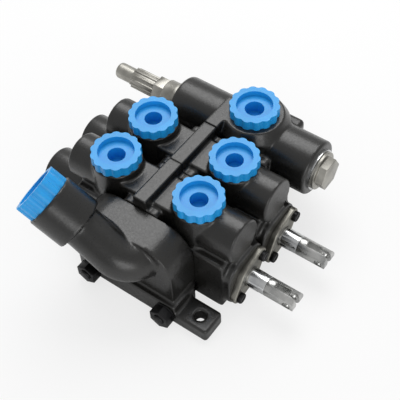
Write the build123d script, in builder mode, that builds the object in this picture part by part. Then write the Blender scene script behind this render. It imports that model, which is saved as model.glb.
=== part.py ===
"""Two-spool sectional hydraulic control valve.

X runs along the spools, towards their clevis ends.
Y runs across the stacked sections, towards the inlet section.
Z is up, from the plane that the valve is bolted down on.
The origin lies midway between the four work ports, on that plane.
"""
import os
from math import cos, radians, sin

from build123d import *

os.makedirs("parts", exist_ok=True)

# Sections, stacked along Y
SECTION_PITCH = 48.0
ROWS = 2
INLET_LENGTH = 64.0
OUTLET_LENGTH = 29.0
JOINT_Y = ROWS * SECTION_PITCH / 2
INLET_END_Y = JOINT_Y + INLET_LENGTH
ROW_CENTRES = [JOINT_Y - SECTION_PITCH * (row + 0.5) for row in range(ROWS)]

# Ports on top
PORT_FACE_Z = 86.0
WORK_PORT_X = 40.5
WORK_BOSS_RADIUS = 20.9
WORK_BOSS_ROOT_RADIUS = 22.4
WORK_THREAD_RADIUS = 12.5
WORK_THREAD_DEPTH = 19.0
WORK_PASSAGE_RADIUS = 6.0
PRESSURE_PORT_X = 22.4
PRESSURE_PORT_TO_JOINT = 31.6
PRESSURE_PORT_Y = JOINT_Y + PRESSURE_PORT_TO_JOINT
PRESSURE_FACE_RADIUS = 25.4
PRESSURE_SHOULDER_RADIUS = 31.2
PRESSURE_SHOULDER_Z = 76.0
PRESSURE_THREAD_RADIUS = 15.5
PRESSURE_THREAD_DEPTH = 20.0

# Work section casting
BODY_LEFT_X = -70.0
BODY_RIGHT_X = 78.0
BODY_TOP_Z = 56.0
SHOULDER_HALF_WIDTH = 17.0
SHOULDER_TOP_Z = 76.0
WEB_HALF_WIDTH = 16.0
WEB_TOP_Z = 79.0
RIDGE_HALF_WIDTH = 6.5
RIDGE_TOP_Z = 86.0
SIDE_BOSS_Z = 67.0
SIDE_BOSS_LEFT_RADIUS = 18.7
SIDE_BOSS_LEFT_X = -80.0
SIDE_BOSS_RIGHT_RADIUS = 19.0
SIDE_BOSS_RIGHT_X = 82.0
CASTING_FILLET = 4.0

# Spools
SPOOL_Z = 25.5
SPOOL_RADIUS = 8.4
SPOOL_CLEARANCE = 0.03
SPOOL_NECK_RADIUS = 5.0
SPOOL_TRAVEL = 6.0
GALLERY_RADIUS = 5.5
CHAMBER_RADIUS = 11.5
CHAMBER_WIDTH = 8.0
PRESSURE_CHAMBERS_X = (-42.0, 33.0)
WORK_CHAMBER_X = 16.0
NECK_OVERLAP = SPOOL_TRAVEL - 1.0
SPOOL_REAR_X = -77.0
SPOOL_FRONT_X = 106.0
SPOOL_TIP_STEP = 5.5
SPOOL_TIP_RADIUS = 8.2
SPOOL_TIP_CHAMFER = 0.6

# Clevis end, screwed into the spool
CLEVIS_TIP_X = 133.2
CLEVIS_SLOT_LENGTH = 21.0
CLEVIS_SLOT_WIDTH = 5.6
CLEVIS_HOLE_RADIUS = 3.5
CLEVIS_HOLE_TO_TIP = 6.4
CLEVIS_STUD_RADIUS = 4.0
CLEVIS_STUD_LENGTH = 11.0

# Seal retainer on the clevis side
FLANGE_X = 84.0
FLANGE_WIDTH = 46.0
FLANGE_HEIGHT = 47.0
FLANGE_CORNER = 14.0
RETAINER_THICKNESS = 5.0
RETAINER_BORE_CLEARANCE = 0.4
RETAINER_HUB_RADIUS = 14.5
RETAINER_LOBE_RADIUS = 6.4
SEAL_RADIUS = 12.0
SEAL_WIDTH = 5.0
RETAINER_SCREW_Y = 16.0
RETAINER_SCREW_Z = 10.5
RETAINER_SCREW_LENGTH = 16.0
RETAINER_SCREW = dict(shank=3.0, head=4.6)
SCREW_HEAD_HEIGHT = 3.6
SCREW_SLOT_WIDTH = 1.6
SCREW_SLOT_DEPTH = 1.8

# Spring cap and centring spring on the other side
SPRING_CAP_RADIUS = 19.4
SPRING_CAP_END_X = -114.5
SPRING_BORE_RADIUS = 11.2
SPRING_CAP_END_WALL = 2.5
CAP_SCREW_Y = 15.0
CAP_SCREW_DEPTH = 12.0
CAP_SCREW = dict(shank=2.5, head=4.1)
SPRING_SEAT_THICKNESS = 1.5
SPRING_LENGTH = 13.0
SPRING_MEAN_RADIUS = 8.6
SPRING_WIRE_RADIUS = 0.8
SPRING_TURNS = 4.5
SPRING_SEAT_RADIUS = 10.4
STOP_BOLT_RADIUS = 3.5
STOP_BOLT_HEAD_RADIUS = 6.0
STOP_BOLT_HEAD_LENGTH = 3.0
STOP_GAP = SPOOL_TRAVEL + 0.5
LOOSE_FIT = 0.25

# Load checks in the joint faces
CHECK_Z = 53.5
CHECK_RADIUS = 5.6
CHECK_CLEARANCE = 0.05
CHECK_LENGTH = 11.0
CHECK_BORE_DEPTH = 26.0
CHECK_SPRING_RADIUS = 3.6
CHECK_SPRING_WIRE = 0.45
CHECK_SPRING_TURNS = 5.5
CHECK_SPRING_POCKET = 4.0

# Tie rods, and the screw that holds the sections together at the top
TIE_ROD_RADIUS = 5.0
TIE_HOLE_RADIUS = 5.25
TIE_RODS_X = (46.0, -29.5)
TIE_RODS_Z = 10.5
TOP_SCREW_X = -1.5
TOP_SCREW_Z = 70.0
TOP_SCREW_RADIUS = 4.0
TOP_SCREW_HOLE_RADIUS = 4.4
TOP_SCREW_DEPTH = 20.0
TOP_SCREW_SEAT = 12.0
TOP_SCREW_HEAD_RADIUS = 6.5
TOP_SCREW_HEAD_LENGTH = 8.0
TOP_SCREW_SOCKET_RADIUS = 3.5
NUT_ACROSS_FLATS = 17.0
NUT_HEIGHT = 8.4
WASHER_RADIUS = 9.4
WASHER_THICKNESS = 1.2
ROD_STANDOUT = 1.5

# Seals between the sections
JOINT_SEAL_SECTION = 1.5
JOINT_SEAL_DEPTH = 1.2
JOINT_SEAL_RADIUS = GALLERY_RADIUS + 2.6

# Inlet casting
INLET_LEFT_X = -1.0
INLET_SHELF_X = -51.0
INLET_SHELF_Z = 44.0
INLET_RIGHT_X = 54.0
INLET_TOP_Z = 67.0
RELIEF_Z = 55.5
RELIEF_BOSS_RADIUS = 24.4
RELIEF_BOSS_X = -53.0
PLUG_BOSS_X = 86.5
RELIEF_BORE_RADIUS = 11.0
RELIEF_BORE_END_X = -12.0
FEED_RADIUS = 6.0
FEED_TO_JOINT = 18.0
FEED_Y = JOINT_Y + FEED_TO_JOINT
FEED_Z = 38.5
TANK_DROP_X = -20.0

# Relief valve cartridge
RELIEF_FLANGE_RADIUS = 14.6
RELIEF_FLANGE_THICKNESS = 5.0
RELIEF_COLLAR_RADIUS = 13.2
RELIEF_COLLAR_FLATS = 23.0
RELIEF_COLLAR_LENGTH = 10.5
RELIEF_NUT_FLATS = 21.5
RELIEF_NUT_LENGTH = 10.5
RELIEF_THREAD_LENGTH = 16.0
RELIEF_NOSE_RADIUS = 9.2
RELIEF_SLEEVE_RADIUS = 9.7
RELIEF_SLEEVE_LENGTH = 26.0
RELIEF_SLEEVE_RIBS = 12
RELIEF_RIB_RADIUS = 1.1
RELIEF_SCREW_RADIUS = 7.4
RELIEF_TIP_ROUND = 2.8
RELIEF_SCREW_CLEARANCE = 0.04
RELIEF_SCREW_STANDOUT = 19.0
RELIEF_SCREW_TRAVEL = 3.0
RELIEF_SOCKET_RADIUS = 3.6
RELIEF_SOCKET_DEPTH = 5.0
SPRING_DISC_RADIUS = 6.7
SPRING_DISC_THICKNESS = 3.0
RELIEF_SPRING_LENGTH = 22.0
RELIEF_SPRING_MEAN_RADIUS = 3.2
RELIEF_SPRING_WIRE = 0.7
RELIEF_SPRING_TURNS = 7.5
RELIEF_POPPET_LENGTH = 12.0
RELIEF_POPPET_RADIUS = 4.5
RELIEF_SEAT_THICKNESS = 5.0
RELIEF_SEAT_HOLE = 2.6
SEAL_RING_THICKNESS = 2.0

# Blanking plug of the inlet
PLUG_FLANGE_RADIUS = 17.0
PLUG_FLANGE_THICKNESS = 3.0
PLUG_HEX_FLATS = 25.0
PLUG_HEX_LENGTH = 7.0
PLUG_SHANK_RADIUS = 12.0
PLUG_SHANK_LENGTH = 16.0
PLUG_WASHER_RADIUS = 18.4
PLUG_WASHER_THICKNESS = 2.0

# Outlet casting with its tank elbow, placed from the joint face
ARCH_RIGHT_X = 51.0
ARCH_LEFT_X = -45.0
ARCH_TOP_Z = 76.0
ARCH_RADIUS = 26.0
OUTLET_FOOT_FACE_Y = -JOINT_Y - 34.0
OUTLET_BASE_HEIGHT = 21.0
BASE_STEP = 4.0
PIPE_RADIUS = 17.0
PIPE_BORE_RADIUS = 11.5
PIPE_RADII = (19.0, 60.0)
PIPE_LINE_Y = -JOINT_Y - 40.0
PIPE_START = (21.0, -JOINT_Y - 12.0, 56.0)
PIPE_BEND = (21.0, PIPE_LINE_Y, 56.0)
PIPE_KNEE = (-22.0, PIPE_LINE_Y, 78.0)
TANK_TILT = 36.5
TANK_YAW = 10.0
TANK_REACH = 34.0
COLLAR_RADIUS = 22.2
COLLAR_LENGTH = 30.0
TANK_THREAD_RADIUS = 17.0
TANK_THREAD_DEPTH = 18.0

# Feet
FOOT_WIDTH = 23.0
FOOT_LENGTH = 24.5
FOOT_REACH = 34.6
FOOT_THICKNESS = 13.0
FOOT_HOLE_RADIUS = 4.5
FOOT_HOLE_TO_END = 13.6
FOOT_CORNER = 3.0

# Transport plugs of blue plastic
PLUG_LOBES = 14
WORK_PLUG = dict(head=20.6, height=8.6, recess=14.9, bore=7.4, shank=12.3)
PRESSURE_PLUG = dict(head=21.2, height=8.8, recess=15.4, bore=8.2, shank=15.2)
TANK_PLUG = dict(head=20.8, height=14.2, recess=16.4, bore=9.0, shank=16.7)
PLUG_RECESS_DEPTH = 4.8
PLUG_BORE_DEPTH = 16.0
PLUG_SHANK_DEPTH = 14.0
PLUG_LOBE_DEPTH = 1.3

# Places worked out from the dimensions above
INNER_SEAT_X = SPOOL_REAR_X - SPRING_SEAT_THICKNESS
OUTER_SEAT_X = INNER_SEAT_X - SPRING_LENGTH
RELIEF_FLANGE_X = RELIEF_BOSS_X - SEAL_RING_THICKNESS
RELIEF_COLLAR_X = RELIEF_FLANGE_X - RELIEF_FLANGE_THICKNESS
RELIEF_NUT_X = RELIEF_COLLAR_X - RELIEF_COLLAR_LENGTH
RELIEF_SLEEVE_X = RELIEF_NUT_X - RELIEF_NUT_LENGTH
RELIEF_SCREW_X = RELIEF_SLEEVE_X - RELIEF_SLEEVE_LENGTH - RELIEF_SCREW_STANDOUT
RELIEF_SEAT_X = RELIEF_BORE_END_X - RELIEF_SEAT_THICKNESS
RELIEF_SPRING_X = RELIEF_SEAT_X - RELIEF_POPPET_LENGTH
SPRING_DISC_X = RELIEF_SPRING_X - RELIEF_SPRING_LENGTH
RELIEF_SCREW_END_X = SPRING_DISC_X - SPRING_DISC_THICKNESS
GALLERIES_X = (PRESSURE_CHAMBERS_X[0], 0, PRESSURE_CHAMBERS_X[1])
FOOT_RIGHT_X = ARCH_RIGHT_X + FOOT_REACH
FOOT_PLACES = dict(
    outlet=(FOOT_RIGHT_X - FOOT_HOLE_TO_END, OUTLET_FOOT_FACE_Y + FOOT_WIDTH / 2),
    inlet=(INLET_SHELF_X - FOOT_LENGTH + FOOT_HOLE_TO_END, INLET_END_Y - FOOT_WIDTH / 2),
)
TANK_AXIS = Vector(
    -cos(radians(TANK_TILT)) * cos(radians(TANK_YAW)),
    -cos(radians(TANK_TILT)) * sin(radians(TANK_YAW)),
    sin(radians(TANK_TILT)),
)
TANK_FACE = Vector(*PIPE_KNEE) + TANK_AXIS * TANK_REACH
COLLAR_ROOT = TANK_FACE - TANK_AXIS * COLLAR_LENGTH
PIPE_END = TANK_FACE - TANK_AXIS * (TANK_THREAD_DEPTH + 1)


def save(part, name):
    """Name a finished solid and write it."""
    part.label = name
    export_step(part, f"parts/{name}.step")


def bar(y, z, steps, mode=Mode.ADD):
    """Round bar along X from (start, end, radius) steps, in the open part."""
    for start, end, radius in steps:
        with BuildSketch(Plane.YZ.offset(start)) as profile:
            with Locations((y, z)):
                Circle(radius)
        extrude(profile.sketch, amount=end - start, mode=mode)


def cross_bar(x, z, start, end, radius, mode=Mode.ADD):
    """Round bar along Y, in the open part."""
    with BuildSketch(Plane.XZ.offset(-end)) as profile:
        with Locations((x, z)):
            Circle(radius)
    extrude(profile.sketch, amount=end - start, mode=mode)


def upright(x, y, bottom, top, radius, mode=Mode.ADD):
    """Round bar along Z, in the open part."""
    with BuildSketch(Plane.XY.offset(bottom)) as profile:
        with Locations((x, y)):
            Circle(radius)
    extrude(profile.sketch, amount=top - bottom, mode=mode)


def tapered_boss(x, y, bottom, top, root_radius, face_radius):
    """Port boss that widens towards its root, in the open part."""
    with BuildSketch(Plane.XY.offset(bottom)) as root:
        with Locations((x, y)):
            Circle(root_radius)
    with BuildSketch(Plane.XY.offset(top)) as face:
        with Locations((x, y)):
            Circle(face_radius)
    loft([root.sketch, face.sketch])


def block(x_range, y_range, z_range, corner=0.0):
    """Upright block with rounded vertical corners, in the open part."""
    with BuildSketch(Plane.XY.offset(z_range[0])) as outline:
        with Locations(((x_range[0] + x_range[1]) / 2, (y_range[0] + y_range[1]) / 2)):
            if corner:
                RectangleRounded(x_range[1] - x_range[0], y_range[1] - y_range[0], corner)
            else:
                Rectangle(x_range[1] - x_range[0], y_range[1] - y_range[0])
    extrude(outline.sketch, amount=z_range[1] - z_range[0])


def tie_rod_holes(start, end):
    """Clearance holes for the tie rods, in the open part."""
    for x in TIE_RODS_X:
        cross_bar(x, TIE_RODS_Z, start, end, TIE_HOLE_RADIUS, Mode.SUBTRACT)


def top_screw_hole(start, end, radius):
    """Part of the top screw's hole, in the open part."""
    cross_bar(TOP_SCREW_X, TOP_SCREW_Z, start, end, radius, Mode.SUBTRACT)


def joint_grooves(face_y):
    """Seal grooves round the galleries, sunk into the +Y face at face_y."""
    for x in GALLERIES_X:
        with BuildSketch(Plane.XZ.offset(-face_y)) as groove:
            with Locations((x, SPOOL_Z)):
                Circle(JOINT_SEAL_RADIUS + JOINT_SEAL_SECTION)
                Circle(JOINT_SEAL_RADIUS, mode=Mode.SUBTRACT)
        extrude(groove.sketch, amount=JOINT_SEAL_DEPTH, mode=Mode.SUBTRACT)


def galleries(start, end):
    """Two pressure galleries and the centre tank gallery along Y, in the open part."""
    for x in GALLERIES_X:
        cross_bar(x, SPOOL_Z, start, end, GALLERY_RADIUS, Mode.SUBTRACT)


def screw_places(y):
    """Two places on opposite sides of the spool for the retainer screws."""
    return [(y + side * RETAINER_SCREW_Y, SPOOL_Z + side * RETAINER_SCREW_Z) for side in (-1, 1)]


def cap_places(y):
    """Two places beside the spool for the spring cap screws."""
    return [(y + side * CAP_SCREW_Y, SPOOL_Z) for side in (-1, 1)]


def work_section(name, y):
    """Casting of one spool row, with its ports, galleries and spool bore."""
    far, near = y + SECTION_PITCH / 2, y - SECTION_PITCH / 2
    with BuildPart() as casting:
        with BuildSketch(Plane.XZ.offset(-far)):
            with BuildLine():
                Polyline(
                    (BODY_LEFT_X, 0),
                    (BODY_RIGHT_X, 0),
                    (BODY_RIGHT_X, BODY_TOP_Z),
                    (SHOULDER_HALF_WIDTH, BODY_TOP_Z),
                    (SHOULDER_HALF_WIDTH, SHOULDER_TOP_Z),
                    (-SHOULDER_HALF_WIDTH, SHOULDER_TOP_Z),
                    (-SHOULDER_HALF_WIDTH, BODY_TOP_Z),
                    (BODY_LEFT_X, BODY_TOP_Z),
                    close=True,
                )
            make_face()
        extrude(amount=SECTION_PITCH)
        fillet(casting.edges().filter_by(Axis.Y), CASTING_FILLET)
        block((-RIDGE_HALF_WIDTH, RIDGE_HALF_WIDTH), (near, far), (BODY_TOP_Z, RIDGE_TOP_Z))
        block(
            (-WORK_PORT_X, WORK_PORT_X),
            (y - WEB_HALF_WIDTH, y + WEB_HALF_WIDTH),
            (SPOOL_Z, WEB_TOP_Z),
        )
        bar(y, SIDE_BOSS_Z, [(SIDE_BOSS_LEFT_X, -WORK_PORT_X, SIDE_BOSS_LEFT_RADIUS)])
        bar(y, SIDE_BOSS_Z, [(WORK_PORT_X, SIDE_BOSS_RIGHT_X, SIDE_BOSS_RIGHT_RADIUS)])
        for x in (-WORK_PORT_X, WORK_PORT_X):
            tapered_boss(x, y, SPOOL_Z, PORT_FACE_Z, WORK_BOSS_ROOT_RADIUS, WORK_BOSS_RADIUS)
        with BuildSketch(Plane.YZ.offset(BODY_RIGHT_X - CASTING_FILLET)):
            with Locations((y, SPOOL_Z)):
                RectangleRounded(FLANGE_WIDTH, FLANGE_HEIGHT, FLANGE_CORNER)
        extrude(amount=FLANGE_X - BODY_RIGHT_X + CASTING_FILLET)
        # Spool bore, its chambers, and the seal pocket behind the retainer
        bore = SPOOL_RADIUS + SPOOL_CLEARANCE
        bar(y, SPOOL_Z, [(BODY_LEFT_X, FLANGE_X, bore)], Mode.SUBTRACT)
        bar(y, SPOOL_Z, [(FLANGE_X - SEAL_WIDTH, FLANGE_X, SEAL_RADIUS)], Mode.SUBTRACT)
        for x in GALLERIES_X + (-WORK_CHAMBER_X, WORK_CHAMBER_X):
            chamber = (x - CHAMBER_WIDTH / 2, x + CHAMBER_WIDTH / 2, CHAMBER_RADIUS)
            bar(y, SPOOL_Z, [chamber], Mode.SUBTRACT)
        galleries(near, far)
        for x in (-WORK_PORT_X, WORK_PORT_X):
            thread_end = PORT_FACE_Z - WORK_THREAD_DEPTH
            upright(x, y, thread_end, PORT_FACE_Z, WORK_THREAD_RADIUS, Mode.SUBTRACT)
            port_floor = Vector(x, y, thread_end)
            chamber_top = Vector(WORK_CHAMBER_X if x > 0 else -WORK_CHAMBER_X, y, SPOOL_Z)
            with BuildSketch(Plane(origin=port_floor, z_dir=chamber_top - port_floor)):
                Circle(WORK_PASSAGE_RADIUS)
            extrude(amount=(chamber_top - port_floor).length - SPOOL_RADIUS, mode=Mode.SUBTRACT)
        # Load check bore, open at the +Y joint face, with a spring pocket at its end
        bore_end = far - CHECK_BORE_DEPTH
        check_bore = CHECK_RADIUS + CHECK_CLEARANCE
        cross_bar(0, CHECK_Z, bore_end, far, check_bore, Mode.SUBTRACT)
        joint_grooves(far)
        tie_rod_holes(near, far)
        top_screw_hole(near, far, TOP_SCREW_HOLE_RADIUS)
        # Tapped holes for the retainer screws and the spring cap screws
        retainer_hole_end = FLANGE_X + RETAINER_THICKNESS - RETAINER_SCREW_LENGTH
        for place in screw_places(y):
            bar(*place, [(retainer_hole_end, FLANGE_X, RETAINER_SCREW["shank"])], Mode.SUBTRACT)
        for place in cap_places(y):
            hole = (BODY_LEFT_X, BODY_LEFT_X + CAP_SCREW_DEPTH, CAP_SCREW["shank"])
            bar(*place, [hole], Mode.SUBTRACT)
    save(casting.part, name)


def spool(name, y):
    """Spool with metering necks, a rear end for the stop bolt and a stepped front end."""
    with BuildPart() as rod:
        bar(y, SPOOL_Z, [(SPOOL_REAR_X, SPOOL_FRONT_X - SPOOL_TIP_STEP, SPOOL_RADIUS)])
        bar(y, SPOOL_Z, [(SPOOL_FRONT_X - SPOOL_TIP_STEP, SPOOL_FRONT_X, SPOOL_TIP_RADIUS)])
        land = CHAMBER_WIDTH / 2 + NECK_OVERLAP
        necks = [(PRESSURE_CHAMBERS_X[0] + land, -land), (land, PRESSURE_CHAMBERS_X[1] - land)]
        for start, end in necks:
            with BuildSketch(Plane.YZ.offset(start)):
                with Locations((y, SPOOL_Z)):
                    Circle(SPOOL_RADIUS)
                    Circle(SPOOL_NECK_RADIUS, mode=Mode.SUBTRACT)
            extrude(amount=end - start, mode=Mode.SUBTRACT)
        stud_start = SPOOL_FRONT_X - CLEVIS_STUD_LENGTH
        bar(y, SPOOL_Z, [(stud_start, SPOOL_FRONT_X, CLEVIS_STUD_RADIUS)], Mode.SUBTRACT)
        bolt_end = SPOOL_REAR_X + CLEVIS_STUD_LENGTH
        bar(y, SPOOL_Z, [(SPOOL_REAR_X, bolt_end, STOP_BOLT_RADIUS)], Mode.SUBTRACT)
        step_edges = rod.edges().filter_by(GeomType.CIRCLE).group_by(Axis.X)
        chamfer([edge for edge in step_edges[-1] if edge.radius > CLEVIS_STUD_RADIUS], SPOOL_TIP_CHAMFER)
    save(rod.part, name)


def clevis_end(name, y):
    """Forked end with its cross hole along Y and the stud that screws into the spool."""
    with BuildPart() as fork:
        bar(y, SPOOL_Z, [(SPOOL_FRONT_X - CLEVIS_STUD_LENGTH, SPOOL_FRONT_X, CLEVIS_STUD_RADIUS)])
        bar(y, SPOOL_Z, [(SPOOL_FRONT_X, CLEVIS_TIP_X, SPOOL_TIP_RADIUS)])
        with BuildSketch(Plane.XZ.offset(-y - SPOOL_RADIUS)) as ear:
            with Locations((SPOOL_FRONT_X - CLEVIS_STUD_LENGTH, SPOOL_Z)):
                Rectangle(
                    CLEVIS_TIP_X - SPOOL_FRONT_X + CLEVIS_STUD_LENGTH,
                    2 * SPOOL_RADIUS,
                    align=(Align.MIN, Align.CENTER),
                )
            tip_corners = ear.vertices().group_by(Axis.X)[-1]
            fillet(tip_corners, SPOOL_TIP_RADIUS - 0.4)
        extrude(amount=2 * SPOOL_RADIUS, mode=Mode.INTERSECT)
        with BuildSketch(Plane.XZ.offset(-y - CLEVIS_SLOT_WIDTH / 2)):
            with Locations((CLEVIS_TIP_X - CLEVIS_SLOT_LENGTH, SPOOL_Z)):
                Rectangle(CLEVIS_SLOT_LENGTH, 2 * SPOOL_RADIUS, align=(Align.MIN, Align.CENTER))
        extrude(amount=CLEVIS_SLOT_WIDTH, mode=Mode.SUBTRACT)
        hole_x = CLEVIS_TIP_X - CLEVIS_HOLE_TO_TIP
        cross_bar(hole_x, SPOOL_Z, y - SPOOL_RADIUS, y + SPOOL_RADIUS, CLEVIS_HOLE_RADIUS, Mode.SUBTRACT)
    save(fork.part, name)


def slotted_screws(name, places, seat_x, length, outward, size):
    """Group of slotted pan-head screws along X, with the heads outside seat_x."""
    with BuildPart() as screws:
        for y, z in places:
            head = sorted((seat_x, seat_x + outward * SCREW_HEAD_HEIGHT))
            shank = sorted((seat_x, seat_x - outward * length))
            bar(y, z, [(head[0], head[1], size["head"]), (shank[0], shank[1], size["shank"])])
        head_faces = screws.faces().filter_by(Axis.X).sort_by(Axis.X)
        outer = head_faces[-len(places):] if outward > 0 else head_faces[: len(places)]
        fillet(outer.edges(), 1.1)
        for y, z in places:
            start = seat_x + outward * (SCREW_HEAD_HEIGHT - SCREW_SLOT_DEPTH)
            with BuildSketch(Plane.YZ.offset(start)):
                with Locations(Location((y, z), 35)):
                    Rectangle(2 * size["head"] + 1, SCREW_SLOT_WIDTH)
            extrude(amount=outward * (SCREW_SLOT_DEPTH + 1), mode=Mode.SUBTRACT)
    save(screws.part, name)


def seal_retainer(name, y):
    """Plate that holds the spool seal in its pocket."""
    with BuildPart() as plate:
        with BuildSketch(Plane.YZ.offset(FLANGE_X)):
            with Locations((y, SPOOL_Z)):
                Circle(RETAINER_HUB_RADIUS)
            with Locations(screw_places(y)):
                Circle(RETAINER_LOBE_RADIUS)
            make_hull()
            with Locations((y, SPOOL_Z)):
                Circle(SPOOL_RADIUS + RETAINER_BORE_CLEARANCE, mode=Mode.SUBTRACT)
            with Locations(screw_places(y)):
                Circle(RETAINER_SCREW["shank"] + LOOSE_FIT, mode=Mode.SUBTRACT)
        extrude(amount=RETAINER_THICKNESS)
        outline = plate.faces().sort_by(Axis.X)[-1].outer_wire().edges()
        chamfer(outline, 0.8)
    save(plate.part, name)


def spool_seal(name, y):
    """Lip seal ring in the pocket behind the retainer."""
    with BuildPart() as ring:
        with BuildSketch(Plane.YZ.offset(FLANGE_X - SEAL_WIDTH)):
            with Locations((y, SPOOL_Z)):
                Circle(SEAL_RADIUS)
                Circle(SPOOL_RADIUS + SPOOL_CLEARANCE, mode=Mode.SUBTRACT)
        extrude(amount=SEAL_WIDTH)
    save(ring.part, name)


def spring_cap(name, y):
    """Closed round cap over the centring spring, held by two long screws."""
    with BuildPart() as cap:
        bar(y, SPOOL_Z, [(SPRING_CAP_END_X, BODY_LEFT_X, SPRING_CAP_RADIUS)])
        end_edge = cap.edges().filter_by(GeomType.CIRCLE).sort_by(Axis.X)[0]
        chamfer(end_edge, 0.5)
        cavity = (SPRING_CAP_END_X + SPRING_CAP_END_WALL, BODY_LEFT_X, SPRING_BORE_RADIUS)
        bar(y, SPOOL_Z, [cavity], Mode.SUBTRACT)
        for place in cap_places(y):
            hole = (SPRING_CAP_END_X, BODY_LEFT_X, CAP_SCREW["shank"] + LOOSE_FIT)
            bar(*place, [hole], Mode.SUBTRACT)
    save(cap.part, name)


def stop_bolt(name, y):
    """Bolt in the spool's rear end, whose head limits the travel."""
    head_x = OUTER_SEAT_X - SPRING_SEAT_THICKNESS - STOP_GAP
    with BuildPart() as bolt:
        bar(y, SPOOL_Z, [(head_x, SPOOL_REAR_X + CLEVIS_STUD_LENGTH, STOP_BOLT_RADIUS)])
        with BuildSketch(Plane.YZ.offset(head_x - STOP_BOLT_HEAD_LENGTH)):
            with Locations((y, SPOOL_Z)):
                RegularPolygon(STOP_BOLT_HEAD_RADIUS, 6)
        extrude(amount=STOP_BOLT_HEAD_LENGTH)
    save(bolt.part, name)


def coil_spring(name, start, direction, length, mean_radius, wire_radius, turns):
    """Helical spring from start along direction."""
    rise = length - 2 * wire_radius
    first_turn = Vector(*start) + Vector(*direction) * wire_radius
    with BuildPart() as spring:
        with BuildLine() as path:
            Helix(rise / turns, rise, mean_radius, center=first_turn, direction=direction)
        with BuildSketch(Plane(origin=path.line @ 0, z_dir=path.line % 0)):
            Circle(wire_radius)
        sweep(is_frenet=True)
    save(spring.part, name)


def load_check(name, y):
    """Load check poppet in the joint face, with a hollow back for its spring."""
    face = y + SECTION_PITCH / 2
    with BuildPart() as poppet:
        cross_bar(0, CHECK_Z, face - CHECK_LENGTH, face, CHECK_RADIUS)
        cone_edge = poppet.edges().filter_by(GeomType.CIRCLE).sort_by(Axis.Y)[-1]
        chamfer(cone_edge, 2.4)
        back = face - CHECK_LENGTH
        pocket_radius = CHECK_SPRING_RADIUS + CHECK_SPRING_WIRE + LOOSE_FIT
        cross_bar(0, CHECK_Z, back, back + CHECK_SPRING_POCKET, pocket_radius, Mode.SUBTRACT)
    save(poppet.part, name)


def joint_seals(name):
    """Square-section rings in the grooves of the section joints."""
    with BuildPart() as rings:
        for face_y in [y + SECTION_PITCH / 2 for y in ROW_CENTRES] + [-JOINT_Y]:
            for x in GALLERIES_X:
                with BuildSketch(Plane.XZ.offset(-face_y)):
                    with Locations((x, SPOOL_Z)):
                        Circle(JOINT_SEAL_RADIUS + JOINT_SEAL_SECTION)
                        Circle(JOINT_SEAL_RADIUS, mode=Mode.SUBTRACT)
                extrude(amount=JOINT_SEAL_DEPTH)
    save(rings.part, name)


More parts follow.
